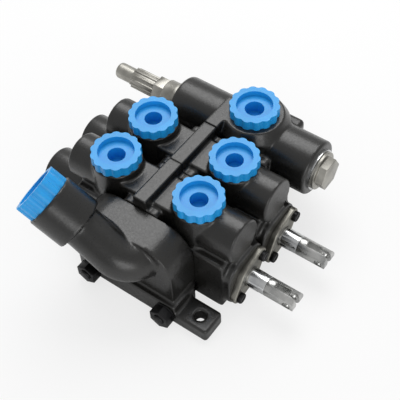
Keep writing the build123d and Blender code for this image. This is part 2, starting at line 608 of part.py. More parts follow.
def inlet_section(name):
    """End casting with the pressure port, the relief valve boss and the plugged boss."""
    y = PRESSURE_PORT_Y
    with BuildPart() as casting:
        block((INLET_LEFT_X, INLET_RIGHT_X), (JOINT_Y, INLET_END_Y), (0, INLET_TOP_Z), CASTING_FILLET)
        fillet(casting.faces().sort_by(Axis.Z)[-1].edges(), CASTING_FILLET - 0.5)
        shelf_end = INLET_LEFT_X + CASTING_FILLET
        block((INLET_SHELF_X, shelf_end), (JOINT_Y, INLET_END_Y), (0, INLET_SHELF_Z), CASTING_FILLET)
        bar(y, RELIEF_Z, [(RELIEF_BOSS_X, PLUG_BOSS_X, RELIEF_BOSS_RADIUS)])
        ends = casting.edges().filter_by(GeomType.CIRCLE).sort_by(Axis.X)
        chamfer([ends[0], ends[-1]], 1.5)
        block(
            (-RIDGE_HALF_WIDTH, RIDGE_HALF_WIDTH),
            (JOINT_Y, y + CASTING_FILLET),
            (RELIEF_Z, RIDGE_TOP_Z),
        )
        upright(PRESSURE_PORT_X, y, RELIEF_Z, PRESSURE_SHOULDER_Z, PRESSURE_SHOULDER_RADIUS)
        tapered_boss(
            PRESSURE_PORT_X,
            y,
            PRESSURE_SHOULDER_Z,
            PORT_FACE_Z,
            PRESSURE_SHOULDER_RADIUS,
            PRESSURE_FACE_RADIUS,
        )
        block(
            (INLET_SHELF_X - FOOT_LENGTH, INLET_SHELF_X + CASTING_FILLET),
            (INLET_END_Y - FOOT_WIDTH, INLET_END_Y),
            (0, FOOT_THICKNESS),
            FOOT_CORNER,
        )
        # Pressure port, relief valve bore, plugged bore and feed to the centre gallery
        port_end = PORT_FACE_Z - PRESSURE_THREAD_DEPTH
        upright(PRESSURE_PORT_X, y, port_end, PORT_FACE_Z, PRESSURE_THREAD_RADIUS, Mode.SUBTRACT)
        upright(PRESSURE_PORT_X, y, FEED_Z, port_end, 2 * FEED_RADIUS, Mode.SUBTRACT)
        bar(y, RELIEF_Z, [(RELIEF_BOSS_X, RELIEF_BORE_END_X, RELIEF_BORE_RADIUS)], Mode.SUBTRACT)
        bar(y, RELIEF_Z, [(RELIEF_BORE_END_X, PRESSURE_PORT_X, FEED_RADIUS)], Mode.SUBTRACT)
        bar(y, RELIEF_Z, [(PRESSURE_PORT_X, PLUG_BOSS_X, PLUG_SHANK_RADIUS)], Mode.SUBTRACT)
        bar(FEED_Y, FEED_Z, [(*PRESSURE_CHAMBERS_X, GALLERY_RADIUS)], Mode.SUBTRACT)
        for x in PRESSURE_CHAMBERS_X:
            upright(x, FEED_Y, SPOOL_Z, FEED_Z, GALLERY_RADIUS, Mode.SUBTRACT)
            cross_bar(x, SPOOL_Z, JOINT_Y, FEED_Y, GALLERY_RADIUS, Mode.SUBTRACT)
        upright(TANK_DROP_X, y, SPOOL_Z, RELIEF_Z, GALLERY_RADIUS, Mode.SUBTRACT)
        bar(y, SPOOL_Z, [(TANK_DROP_X, 0, GALLERY_RADIUS)], Mode.SUBTRACT)
        cross_bar(0, SPOOL_Z, JOINT_Y, y, GALLERY_RADIUS, Mode.SUBTRACT)
        tie_rod_holes(JOINT_Y, INLET_END_Y)
        seat_y = JOINT_Y + TOP_SCREW_SEAT
        top_screw_hole(JOINT_Y, seat_y, TOP_SCREW_HOLE_RADIUS)
        top_screw_hole(seat_y, INLET_END_Y, TOP_SCREW_HEAD_RADIUS + LOOSE_FIT)
        foot_hole(FOOT_PLACES["inlet"])
    save(casting.part, name)


def foot_hole(place):
    """Bolt hole of a foot, in the open part."""
    upright(place[0], place[1], 0, FOOT_THICKNESS, FOOT_HOLE_RADIUS, Mode.SUBTRACT)


def outlet_section(name):
    """End casting with the arched tank chamber, the elbow, its collar and a foot."""
    with BuildPart() as casting:
        with BuildSketch(Plane.XZ.offset(JOINT_Y)) as arch:
            with BuildLine():
                Polyline(
                    (ARCH_LEFT_X, 0),
                    (ARCH_RIGHT_X, 0),
                    (ARCH_RIGHT_X, ARCH_TOP_Z),
                    (ARCH_LEFT_X, ARCH_TOP_Z),
                    close=True,
                )
            make_face()
            fillet(arch.vertices().group_by(Axis.Y)[-1], ARCH_RADIUS)
        extrude(amount=OUTLET_LENGTH)
        block(
            (ARCH_LEFT_X, FOOT_RIGHT_X),
            (OUTLET_FOOT_FACE_Y, OUTLET_FOOT_FACE_Y + FOOT_WIDTH),
            (0, FOOT_THICKNESS),
            FOOT_CORNER,
        )
        block(
            (ARCH_LEFT_X, ARCH_RIGHT_X + BASE_STEP),
            (OUTLET_FOOT_FACE_Y, -JOINT_Y - BASE_STEP),
            (0, OUTLET_BASE_HEIGHT),
            FOOT_CORNER,
        )
        with BuildLine():
            FilletPolyline(PIPE_START, PIPE_BEND, PIPE_KNEE, PIPE_END, radius=list(PIPE_RADII))
        with BuildSketch(Plane(origin=PIPE_START, z_dir=(0, -1, 0))):
            Circle(PIPE_RADIUS)
        sweep()
        with BuildSketch(Plane(origin=COLLAR_ROOT, z_dir=TANK_AXIS)):
            Circle(COLLAR_RADIUS)
        extrude(amount=COLLAR_LENGTH)
        # Tank chamber, elbow bore and threaded port
        with BuildSketch(Plane(origin=TANK_FACE, z_dir=TANK_AXIS)):
            Circle(TANK_THREAD_RADIUS)
        extrude(amount=-TANK_THREAD_DEPTH, mode=Mode.SUBTRACT)
        with BuildLine():
            FilletPolyline(PIPE_START, PIPE_BEND, PIPE_KNEE, TANK_FACE, radius=list(PIPE_RADII))
        with BuildSketch(Plane(origin=PIPE_START, z_dir=(0, -1, 0))):
            Circle(PIPE_BORE_RADIUS)
        sweep(mode=Mode.SUBTRACT)
        upright(PIPE_START[0], PIPE_START[1], SPOOL_Z, PIPE_START[2], GALLERY_RADIUS, Mode.SUBTRACT)
        bar(PIPE_START[1], SPOOL_Z, [(0, PIPE_START[0], GALLERY_RADIUS)], Mode.SUBTRACT)
        cross_bar(0, SPOOL_Z, PIPE_START[1], -JOINT_Y, GALLERY_RADIUS, Mode.SUBTRACT)
        joint_grooves(-JOINT_Y)
        tie_rod_holes(OUTLET_FOOT_FACE_Y, -JOINT_Y)
        top_screw_hole(-JOINT_Y - TOP_SCREW_DEPTH, -JOINT_Y, TOP_SCREW_RADIUS)
        foot_hole(FOOT_PLACES["outlet"])
    save(casting.part, name)


def tie_rods(name):
    """Two rods right through the sections, near the base."""
    with BuildPart() as rods:
        far = INLET_END_Y + WASHER_THICKNESS + NUT_HEIGHT + ROD_STANDOUT
        near = OUTLET_FOOT_FACE_Y - WASHER_THICKNESS - NUT_HEIGHT - ROD_STANDOUT
        for x in TIE_RODS_X:
            cross_bar(x, TIE_RODS_Z, near, far, TIE_ROD_RADIUS)
        chamfer(rods.edges().filter_by(GeomType.CIRCLE), 0.8)
    save(rods.part, name)


def top_screw(name):
    """Long socket screw, from the inlet into the outlet."""
    seat = JOINT_Y + TOP_SCREW_SEAT
    head_end = seat + TOP_SCREW_HEAD_LENGTH
    with BuildPart() as screw:
        cross_bar(TOP_SCREW_X, TOP_SCREW_Z, -JOINT_Y - TOP_SCREW_DEPTH, seat, TOP_SCREW_RADIUS)
        cross_bar(TOP_SCREW_X, TOP_SCREW_Z, seat, head_end, TOP_SCREW_HEAD_RADIUS)
        with BuildSketch(Plane.XZ.offset(-head_end)):
            with Locations((TOP_SCREW_X, TOP_SCREW_Z)):
                RegularPolygon(TOP_SCREW_SOCKET_RADIUS, 6)
        extrude(amount=TOP_SCREW_HEAD_LENGTH / 2, mode=Mode.SUBTRACT)
    save(screw.part, name)


def rod_ends():
    """Place, seat and outward direction of every tie rod nut."""
    ends = ((OUTLET_FOOT_FACE_Y, -1), (INLET_END_Y, 1))
    return [(x, TIE_RODS_Z, seat, outward) for x in TIE_RODS_X for seat, outward in ends]


def nuts(name):
    """Hex nuts of the tie rods, chamfered on the outer side."""
    with BuildPart() as group:
        for x, z, seat, outward in rod_ends():
            start = seat + outward * WASHER_THICKNESS
            with BuildSketch(Plane.XZ.offset(-start)):
                with Locations((x, z)):
                    RegularPolygon(NUT_ACROSS_FLATS / 2, 6, major_radius=False, rotation=30)
            extrude(amount=-outward * NUT_HEIGHT)
        for x, z, seat, outward in rod_ends():
            start = seat + outward * WASHER_THICKNESS
            middle = (x, start + outward * NUT_HEIGHT / 2, z)
            with BuildSketch(Plane(origin=middle, z_dir=(0, 1, 0))):
                Circle(TIE_ROD_RADIUS)
            extrude(amount=NUT_HEIGHT / 2, both=True, mode=Mode.SUBTRACT)
    save(group.part, name)


def washers(name):
    """Plain washers under the tie rod nuts."""
    with BuildPart() as group:
        for x, z, seat, outward in rod_ends():
            with BuildSketch(Plane.XZ.offset(-seat)):
                with Locations((x, z)):
                    Circle(WASHER_RADIUS)
                    Circle(TIE_HOLE_RADIUS, mode=Mode.SUBTRACT)
            extrude(amount=-outward * WASHER_THICKNESS)
    save(group.part, name)


def transport_plug(name, plane, size):
    """Scalloped plastic plug: plane lies on the port face and points outwards."""
    head, height = size["head"], size["height"]
    with BuildPart() as plug:
        with BuildSketch(plane):
            Circle(head - PLUG_LOBE_DEPTH)
            lobe = head * sin(radians(180 / PLUG_LOBES)) * 0.98
            with PolarLocations(head - lobe, PLUG_LOBES):
                Circle(lobe)
        extrude(amount=height)
        with BuildSketch(plane):
            Circle(size["shank"])
        extrude(amount=-PLUG_SHANK_DEPTH)
        with BuildSketch(plane.offset(height)):
            Circle(size["recess"])
        extrude(amount=-PLUG_RECESS_DEPTH, mode=Mode.SUBTRACT)
        with BuildSketch(plane.offset(height)):
            Circle(size["bore"])
        extrude(amount=-PLUG_BORE_DEPTH, mode=Mode.SUBTRACT)
    save(plug.part, name)


def relief_cartridge(name):
    """Cartridge body with wrench flats, bored for the spring and the adjusting screw."""
    y = PRESSURE_PORT_Y
    thread_end = RELIEF_BOSS_X + RELIEF_THREAD_LENGTH
    screw_bore = RELIEF_SCREW_RADIUS + RELIEF_SCREW_CLEARANCE
    screw_bore_end = SPRING_DISC_X + RELIEF_SCREW_TRAVEL + 1
    poppet_bore = RELIEF_POPPET_RADIUS + RELIEF_SCREW_CLEARANCE
    with BuildPart() as body:
        bar(y, RELIEF_Z, [(RELIEF_COLLAR_X, RELIEF_FLANGE_X, RELIEF_FLANGE_RADIUS)])
        with BuildSketch(Plane.YZ.offset(RELIEF_NUT_X)) as collar:
            with Locations((y, RELIEF_Z)):
                Circle(RELIEF_COLLAR_RADIUS)
                Rectangle(RELIEF_COLLAR_FLATS, 2 * RELIEF_COLLAR_RADIUS, mode=Mode.INTERSECT)
        extrude(collar.sketch, amount=RELIEF_COLLAR_LENGTH)
        bar(y, RELIEF_Z, [(RELIEF_FLANGE_X, thread_end, RELIEF_BORE_RADIUS)])
        bar(y, RELIEF_Z, [(thread_end, RELIEF_SEAT_X, RELIEF_NOSE_RADIUS)])
        bar(y, RELIEF_Z, [(RELIEF_NUT_X, screw_bore_end, screw_bore)], Mode.SUBTRACT)
        bar(y, RELIEF_Z, [(screw_bore_end, RELIEF_SEAT_X, poppet_bore)], Mode.SUBTRACT)
    save(body.part, name)


def hexagon(start, length, y, z, flats):
    """Hexagon across flats along X, with its outer corners turned off, in the open part."""
    with BuildSketch(Plane.YZ.offset(start)) as profile:
        with Locations((y, z)):
            RegularPolygon(flats / 2, 6, major_radius=False)
    extrude(profile.sketch, amount=length)


def relief_lock_nut(name):
    """Nut that locks the ribbed sleeve against the cartridge."""
    with BuildPart() as nut:
        hexagon(RELIEF_NUT_X, -RELIEF_NUT_LENGTH, PRESSURE_PORT_Y, RELIEF_Z, RELIEF_NUT_FLATS)
        bore = RELIEF_SCREW_RADIUS + RELIEF_SCREW_CLEARANCE
        bar(PRESSURE_PORT_Y, RELIEF_Z, [(RELIEF_SLEEVE_X, RELIEF_NUT_X, bore)], Mode.SUBTRACT)
    save(nut.part, name)


def relief_sleeve(name):
    """Ribbed sleeve round the adjusting screw."""
    end = RELIEF_SLEEVE_X - RELIEF_SLEEVE_LENGTH
    with BuildPart() as sleeve:
        with BuildSketch(Plane.YZ.offset(end)):
            with Locations((PRESSURE_PORT_Y, RELIEF_Z)):
                Circle(RELIEF_SLEEVE_RADIUS - RELIEF_RIB_RADIUS)
                with PolarLocations(RELIEF_SLEEVE_RADIUS - RELIEF_RIB_RADIUS, RELIEF_SLEEVE_RIBS):
                    Circle(RELIEF_RIB_RADIUS)
                Circle(RELIEF_SCREW_RADIUS + RELIEF_SCREW_CLEARANCE, mode=Mode.SUBTRACT)
        extrude(amount=RELIEF_SLEEVE_LENGTH)
    save(sleeve.part, name)


def relief_adjusting_screw(name):
    """Adjusting screw with a rounded tip and a hex socket."""
    y = PRESSURE_PORT_Y
    with BuildPart() as screw:
        bar(y, RELIEF_Z, [(RELIEF_SCREW_X, RELIEF_SCREW_END_X, RELIEF_SCREW_RADIUS)])
        fillet(screw.edges().filter_by(GeomType.CIRCLE).sort_by(Axis.X)[0], RELIEF_TIP_ROUND)
        with BuildSketch(Plane.YZ.offset(RELIEF_SCREW_X)):
            with Locations((y, RELIEF_Z)):
                RegularPolygon(RELIEF_SOCKET_RADIUS, 6)
        extrude(amount=RELIEF_SOCKET_DEPTH, mode=Mode.SUBTRACT)
    save(screw.part, name)


def relief_poppet(name):
    """Cone poppet that the relief spring holds on its seat."""
    with BuildPart() as poppet:
        bar(PRESSURE_PORT_Y, RELIEF_Z, [(RELIEF_SPRING_X, RELIEF_SEAT_X, RELIEF_POPPET_RADIUS)])
        cone = poppet.edges().filter_by(GeomType.CIRCLE).sort_by(Axis.X)[-1]
        chamfer(cone, RELIEF_POPPET_RADIUS - RELIEF_SEAT_HOLE + 0.1)
    save(poppet.part, name)


def relief_spring_disc(name):
    """Disc between the adjusting screw and the relief spring."""
    with BuildPart() as seat:
        bar(PRESSURE_PORT_Y, RELIEF_Z, [(RELIEF_SCREW_END_X, SPRING_DISC_X, SPRING_DISC_RADIUS)])
    save(seat.part, name)


def disc(name, y, z, start, end, outer_radius, hole_radius):
    """Flat ring along X."""
    with BuildPart() as ring:
        bar(y, z, [(start, end, outer_radius)])
        bar(y, z, [(start, end, hole_radius)], Mode.SUBTRACT)
    save(ring.part, name)


def inlet_plug(name):
    """Hex blanking plug of the inlet's second cavity."""
    y = PRESSURE_PORT_Y
    flange = PLUG_BOSS_X + PLUG_WASHER_THICKNESS
    hex_start = flange + PLUG_FLANGE_THICKNESS
    with BuildPart() as plug:
        bar(y, RELIEF_Z, [(PLUG_BOSS_X - PLUG_SHANK_LENGTH, flange, PLUG_SHANK_RADIUS)])
        bar(y, RELIEF_Z, [(flange, hex_start, PLUG_FLANGE_RADIUS)])
        hexagon(hex_start, PLUG_HEX_LENGTH, y, RELIEF_Z, PLUG_HEX_FLATS)
    save(plug.part, name)


inlet_section("inlet_section")
outlet_section("outlet_section")
joint_seals("joint_seals")
tie_rods("tie_rods")
top_screw("top_screw")
nuts("tie_rod_nuts")
washers("tie_rod_washers")

for row, row_y in enumerate(ROW_CENTRES, start=1):
    work_section(f"work_section_{row}", row_y)
    spool(f"spool_{row}", row_y)
    clevis_end(f"clevis_end_{row}", row_y)
    spool_seal(f"spool_seal_{row}", row_y)
    seal_retainer(f"seal_retainer_{row}", row_y)
    spring_cap(f"spring_cap_{row}", row_y)
    stop_bolt(f"stop_bolt_{row}", row_y)
    inner_end = INNER_SEAT_X + SPRING_SEAT_THICKNESS
    outer_end = OUTER_SEAT_X - SPRING_SEAT_THICKNESS
    ring = (SPRING_SEAT_RADIUS, STOP_BOLT_RADIUS)
    disc(f"inner_spring_seat_{row}", row_y, SPOOL_Z, INNER_SEAT_X, inner_end, *ring)
    ring = (SPRING_BORE_RADIUS, STOP_BOLT_RADIUS + LOOSE_FIT)
    disc(f"outer_spring_seat_{row}", row_y, SPOOL_Z, outer_end, OUTER_SEAT_X, *ring)
    coil_spring(
        f"centring_spring_{row}",
        (OUTER_SEAT_X, row_y, SPOOL_Z),
        (1, 0, 0),
        SPRING_LENGTH,
        SPRING_MEAN_RADIUS,
        SPRING_WIRE_RADIUS,
        SPRING_TURNS,
    )
    load_check(f"load_check_poppet_{row}", row_y)
    check_face = row_y + SECTION_PITCH / 2
    spring_start = check_face - CHECK_BORE_DEPTH
    spring_end = check_face - CHECK_LENGTH + CHECK_SPRING_POCKET
    coil_spring(
        f"load_check_spring_{row}",
        (0, spring_start, CHECK_Z),
        (0, 1, 0),
        spring_end - spring_start,
        CHECK_SPRING_RADIUS,
        CHECK_SPRING_WIRE,
        CHECK_SPRING_TURNS,
    )
    for letter, port_x in (("a", WORK_PORT_X), ("b", -WORK_PORT_X)):
        transport_plug(f"port_plug_{letter}{row}", Plane((port_x, row_y, PORT_FACE_Z)), WORK_PLUG)

slotted_screws(
    "retainer_screws",
    [place for row_y in ROW_CENTRES for place in screw_places(row_y)],
    FLANGE_X + RETAINER_THICKNESS,
    RETAINER_SCREW_LENGTH,
    1,
    RETAINER_SCREW,
)
slotted_screws(
    "spring_cap_screws",
    [place for row_y in ROW_CENTRES for place in cap_places(row_y)],
    SPRING_CAP_END_X,
    BODY_LEFT_X - SPRING_CAP_END_X + CAP_SCREW_DEPTH,
    -1,
    CAP_SCREW,
)

transport_plug("port_plug_p", Plane((PRESSURE_PORT_X, PRESSURE_PORT_Y, PORT_FACE_Z)), PRESSURE_PLUG)
transport_plug("port_plug_t", Plane(origin=TANK_FACE, z_dir=TANK_AXIS), TANK_PLUG)

relief_cartridge("relief_cartridge")
relief_lock_nut("relief_lock_nut")
relief_sleeve("relief_sleeve")
relief_adjusting_screw("relief_adjusting_screw")
relief_poppet("relief_poppet")
relief_spring_disc("relief_spring_disc")
coil_spring(
    "relief_spring",
    (SPRING_DISC_X, PRESSURE_PORT_Y, RELIEF_Z),
    (1, 0, 0),
    RELIEF_SPRING_LENGTH,
    RELIEF_SPRING_MEAN_RADIUS,
    RELIEF_SPRING_WIRE,
    RELIEF_SPRING_TURNS,
)
disc(
    "relief_seat",
    PRESSURE_PORT_Y,
    RELIEF_Z,
    RELIEF_SEAT_X,
    RELIEF_BORE_END_X,
    RELIEF_BORE_RADIUS,
    RELIEF_SEAT_HOLE,
)
disc(
    "relief_seal_ring",
    PRESSURE_PORT_Y,
    RELIEF_Z,
    RELIEF_FLANGE_X,
    RELIEF_BOSS_X,
    RELIEF_FLANGE_RADIUS - 1,
    RELIEF_BORE_RADIUS,
)
inlet_plug("inlet_plug")
disc(
    "inlet_plug_washer",
    PRESSURE_PORT_Y,
    RELIEF_Z,
    PLUG_BOSS_X,
    PLUG_BOSS_X + PLUG_WASHER_THICKNESS,
    PLUG_WASHER_RADIUS,
    PLUG_SHANK_RADIUS,
)
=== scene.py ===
"""Two-spool hydraulic control valve, dressed round its CAD frame.

Every piece is in metres in the frame's own coordinates: X along the spools towards their
forked ends, Y across the sections towards the inlet section, Z up.
"""
import math

import bmesh
import bpy
from mathutils import Matrix, Vector


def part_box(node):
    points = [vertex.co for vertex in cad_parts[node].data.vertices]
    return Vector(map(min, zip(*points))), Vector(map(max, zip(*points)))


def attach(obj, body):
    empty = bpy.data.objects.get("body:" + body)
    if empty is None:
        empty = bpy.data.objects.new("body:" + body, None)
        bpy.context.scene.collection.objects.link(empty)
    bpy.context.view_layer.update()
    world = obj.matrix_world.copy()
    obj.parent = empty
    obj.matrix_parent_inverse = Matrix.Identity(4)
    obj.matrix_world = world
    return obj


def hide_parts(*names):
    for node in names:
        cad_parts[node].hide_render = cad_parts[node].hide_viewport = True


bl_info = {
    "name": "Hydraulic Control Valve",
    "version": (1, 0, 0),
    "blender": (4, 5, 0),
    "location": "View3D > Sidebar > Valve",
    "description": "Dresses a sectional spool valve: castings, spools, plugs, screws and stage",
    "category": "Object",
}

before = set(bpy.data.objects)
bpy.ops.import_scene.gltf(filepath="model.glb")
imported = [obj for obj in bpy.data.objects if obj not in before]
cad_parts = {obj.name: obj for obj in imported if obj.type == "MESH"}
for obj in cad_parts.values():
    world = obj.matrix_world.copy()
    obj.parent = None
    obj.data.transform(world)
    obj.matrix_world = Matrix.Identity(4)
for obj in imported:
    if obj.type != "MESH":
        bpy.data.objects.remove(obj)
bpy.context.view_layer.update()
MM = 0.001

ROWS = (1, 2)
PORT_PLUGS = ("port_plug_a1", "port_plug_a2", "port_plug_b1", "port_plug_b2", "port_plug_p", "port_plug_t")


# Small helpers

def linear(hex_code):
    """sRGB hex colour as the linear RGBA that the shaders use."""
    values = [int(hex_code[i:i + 2], 16) / 255 for i in (1, 3, 5)]
    return tuple(v / 12.92 if v <= 0.04045 else ((v + 0.055) / 1.055) ** 2.4 for v in values) + (1.0,)


def add(tree, kind, inputs=None, **settings):
    """Add a node, set its properties, and fill or link its inputs by name or number."""
    node = tree.nodes.new(kind)
    for name, value in settings.items():
        setattr(node, name, value)
    for key, value in (inputs or {}).items():
        socket = node.inputs[key]
        if isinstance(value, bpy.types.NodeSocket):
            tree.links.new(value, socket)
        else:
            socket.default_value = value
    return node


def centre(node):
    """Middle of a CAD node's box."""
    low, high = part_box(node)
    return (low + high) / 2


def plain_object(name, mesh):
    """Link a mesh into the scene as an object that sits at the origin."""
    piece = bpy.data.objects.new(name, mesh)
    bpy.context.scene.collection.objects.link(piece)
    return piece


def node_copy(node, name, merge=0.00001):
    """Merged copy of a CAD node's mesh, as an object of its own."""
    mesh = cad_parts[node].data.copy()
    mesh.name = name
    mesh.materials.clear()
    piece = plain_object(name, mesh)
    work = bmesh.new()
    work.from_mesh(mesh)
    bmesh.ops.remove_doubles(work, verts=work.verts, dist=merge)
    bmesh.ops.recalc_face_normals(work, faces=work.faces)
    work.to_mesh(mesh)
    work.free()
    return piece


def baked(piece):
    """Apply the live modifiers of a piece, so that a plain mesh is left."""
    bpy.context.view_layer.update()
    evaluated = piece.evaluated_get(bpy.context.evaluated_depsgraph_get())
    mesh = bpy.data.meshes.new_from_object(evaluated)
    piece.modifiers.clear()
    old = piece.data
    piece.data = mesh
    bpy.data.meshes.remove(old)
    return piece


def shade(piece, angle=35.0):
    """Smooth shading with the edges over angle degrees kept sharp."""
    piece.data.shade_smooth()
    piece.data.set_sharp_from_angle(angle=math.radians(angle))
    return piece


def finish_piece(piece, material, body, slot, *nodes):
    """Give a piece its material and body, and hide the CAD nodes that it stands for; the slot argument is
    not used.
    """
    piece.data.materials.clear()
    piece.data.materials.append(material)
    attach(piece, body)
    if nodes:
        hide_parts(*nodes)
    return piece


def paint_node(node, material):
    """Give a CAD node that stays a better material."""
    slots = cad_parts[node].material_slots
    for entry in slots:
        entry.material = material


def eased(node, name, width, angle=28.0, segments=2):
    """Copy of a CAD node whose sharp edges are broken by a small bevel."""
    piece = node_copy(node, name)
    work = bmesh.new()
    work.from_mesh(piece.data)
    bmesh.ops.dissolve_limit(
        work, angle_limit=math.radians(1.0), verts=work.verts, edges=work.edges,
    )
    work.to_mesh(piece.data)
    work.free()
    bevel = piece.modifiers.new("Broken edges", "BEVEL")
    bevel.width = width
    bevel.segments = segments
    bevel.limit_method = "ANGLE"
    bevel.angle_limit = math.radians(angle)
    bevel.harden_normals = False
    baked(piece)
    return shade(piece, 40.0)


def cast_copy(node, name, voxel, rounds):
    """Copy of a casting whose corners and joins are rounded as a sand mould leaves them."""
    piece = node_copy(node, name)
    remesh = piece.modifiers.new("Mould", "REMESH")
    remesh.mode = "VOXEL"
    remesh.voxel_size = voxel
    smooth = piece.modifiers.new("Soft corners", "SMOOTH")
    smooth.factor = 0.5
    smooth.iterations = rounds
    baked(piece)
    piece.data.shade_smooth()
    return piece


# Materials

def new_material(name):
    """Empty node material with its output, and its tree."""
    material = bpy.data.materials.new(name)
    material.use_nodes = True
    tree = material.node_tree
    tree.nodes.clear()
    return material, tree


def finished(tree, shader):
    """Join a shader to the material's output."""
    add(tree, "ShaderNodeOutputMaterial", {"Surface": shader.outputs[0]})


def cast_paint():
    """Semi-gloss black enamel sprayed on sand-cast iron: the sand grain shows through the gloss."""
    look = bpy.context.scene.valve_look
    material, tree = new_material("Black enamel on cast iron")
    place = add(tree, "ShaderNodeTexCoord").outputs["Object"]
    blotch = add(tree, "ShaderNodeTexNoise", {"Vector": place, "Scale": 28.0, "Detail": 4.0})
    grain = add(tree, "ShaderNodeTexNoise", {
        "Vector": place, "Scale": 1 / (look.cast_grain * 1.6), "Detail": 3.0, "Roughness": 0.55})
    fine = add(tree, "ShaderNodeTexNoise", {
        "Vector": place, "Scale": 2.4 / look.cast_grain, "Detail": 2.0})
    colour = add(tree, "ShaderNodeValToRGB", {"Fac": blotch.outputs["Fac"]})
    colour.color_ramp.elements[0].position = 0.35
    colour.color_ramp.elements[0].color = linear("#121211")
    colour.color_ramp.elements[1].position = 0.7
    colour.color_ramp.elements[1].color = linear("#1d1c1a")
    rough = add(tree, "ShaderNodeMapRange", {
        "Value": grain.outputs["Fac"], "From Min": 0.3, "From Max": 0.7, "To Min": 0.26, "To Max": 0.42})
    lumps = add(tree, "ShaderNodeBump", {
        "Height": grain.outputs["Fac"], "Strength": 0.28, "Distance": 0.35 * MM})
    bumps = add(tree, "ShaderNodeBump", {
        "Height": fine.outputs["Fac"], "Strength": 0.12, "Distance": 0.15 * MM, "Normal": lumps.outputs[0]})
    shader = add(tree, "ShaderNodeBsdfPrincipled", {
        "Base Color": colour.outputs["Color"], "Roughness": rough.outputs[0], "Normal": bumps.outputs[0],
        "Specular IOR Level": 0.5, "Coat Weight": 0.25, "Coat Roughness": 0.2})
    finished(tree, shader)
    return material


def machined_face(name, middle, axis):
    """Bare cast iron faced off on a mill: fine rings round the middle of the boss."""
    material, tree = new_material(name)
    turn = Vector((0, 0, 1)).rotation_difference(Vector(axis)).inverted().to_euler()
    place = add(tree, "ShaderNodeTexCoord").outputs["Object"]
    shifted = add(tree, "ShaderNodeVectorMath", {0: place, 1: tuple(-Vector(middle))}, operation="ADD")
    local = add(tree, "ShaderNodeVectorRotate", {
        "Vector": shifted.outputs[0], "Rotation": tuple(turn)}, rotation_type="EULER_XYZ")
    rings = add(tree, "ShaderNodeTexWave", {
        "Vector": local.outputs[0], "Scale": 520.0, "Distortion": 1.2, "Detail": 2.0,
        "Detail Scale": 3.0}, wave_type="RINGS", rings_direction="Z")
    stain = add(tree, "ShaderNodeTexNoise", {"Vector": place, "Scale": 120.0, "Detail": 3.0})
    colour = add(tree, "ShaderNodeValToRGB", {"Fac": stain.outputs["Fac"]})
    colour.color_ramp.elements[0].position = 0.3
    colour.color_ramp.elements[0].color = linear("#5d5751")
    colour.color_ramp.elements[1].position = 0.7
    colour.color_ramp.elements[1].color = linear("#98928b")
    bumps = add(tree, "ShaderNodeBump", {
        "Height": rings.outputs["Fac"], "Strength": 0.2, "Distance": 0.06 * MM})
    shader = add(tree, "ShaderNodeBsdfPrincipled", {
        "Base Color": colour.outputs["Color"], "Metallic": 0.85, "Roughness": 0.42,
        "Normal": bumps.outputs[0]})
    finished(tree, shader)
    return material


def steel(name, dark, light, roughness, line_scale=0.0, line_axis="X", bump=0.12):
    """Metal with a faint colour drift and, where line_scale is given, lathe lines across line_axis."""
    material, tree = new_material(name)
    place = add(tree, "ShaderNodeTexCoord").outputs["Object"]
    drift = add(tree, "ShaderNodeTexNoise", {"Vector": place, "Scale": 90.0, "Detail": 4.0})
    colour = add(tree, "ShaderNodeValToRGB", {"Fac": drift.outputs["Fac"]})
    colour.color_ramp.elements[0].position = 0.3
    colour.color_ramp.elements[0].color = linear(dark)
    colour.color_ramp.elements[1].position = 0.7
    colour.color_ramp.elements[1].color = linear(light)
    rough = add(tree, "ShaderNodeMapRange", {
        "Value": drift.outputs["Fac"], "From Min": 0.3, "From Max": 0.7,
        "To Min": roughness * 0.8, "To Max": roughness * 1.25})
    if line_scale:
        lines = add(tree, "ShaderNodeTexWave", {
            "Vector": place, "Scale": line_scale, "Distortion": 0.6, "Detail": 2.0,
            "Detail Scale": 4.0}, wave_type="BANDS", bands_direction=line_axis)
        height = lines.outputs["Fac"]
    else:
        height = add(tree, "ShaderNodeTexNoise", {
            "Vector": place, "Scale": 900.0, "Detail": 2.0}).outputs["Fac"]
    bumps = add(tree, "ShaderNodeBump", {"Height": height, "Strength": bump, "Distance": 0.05 * MM})
    shader = add(tree, "ShaderNodeBsdfPrincipled", {
        "Base Color": colour.outputs["Color"], "Metallic": 1.0, "Roughness": rough.outputs[0],
        "Normal": bumps.outputs[0]})
    finished(tree, shader)
    return material


def moulded_plastic():
    """Blue polyethylene, injection moulded: soft gloss, slightly see-through, faint flow marks."""
    look = bpy.context.scene.valve_look
    material, tree = new_material("Blue polyethylene")
    place = add(tree, "ShaderNodeTexCoord").outputs["Object"]
    flow = add(tree, "ShaderNodeTexNoise", {"Vector": place, "Scale": 60.0, "Detail": 3.0})
    base = Vector(look.plug_colour)
    colour = add(tree, "ShaderNodeValToRGB", {"Fac": flow.outputs["Fac"]})
    colour.color_ramp.elements[0].position = 0.3
    colour.color_ramp.elements[0].color = (*(base * 0.9), 1.0)
    colour.color_ramp.elements[1].position = 0.75
    colour.color_ramp.elements[1].color = (*(base * 1.06), 1.0)
    skin = add(tree, "ShaderNodeTexNoise", {"Vector": place, "Scale": 700.0, "Detail": 2.0})
    bumps = add(tree, "ShaderNodeBump", {
        "Height": skin.outputs["Fac"], "Strength": 0.06, "Distance": 0.1 * MM})
    shader = add(tree, "ShaderNodeBsdfPrincipled", {
        "Base Color": colour.outputs["Color"], "Roughness": 0.36, "IOR": 1.51,
        "Subsurface Weight": 0.12, "Subsurface Radius": (0.8, 1.2, 2.0), "Subsurface Scale": 1.5 * MM,
        "Normal": bumps.outputs[0]})
    finished(tree, shader)
    return material


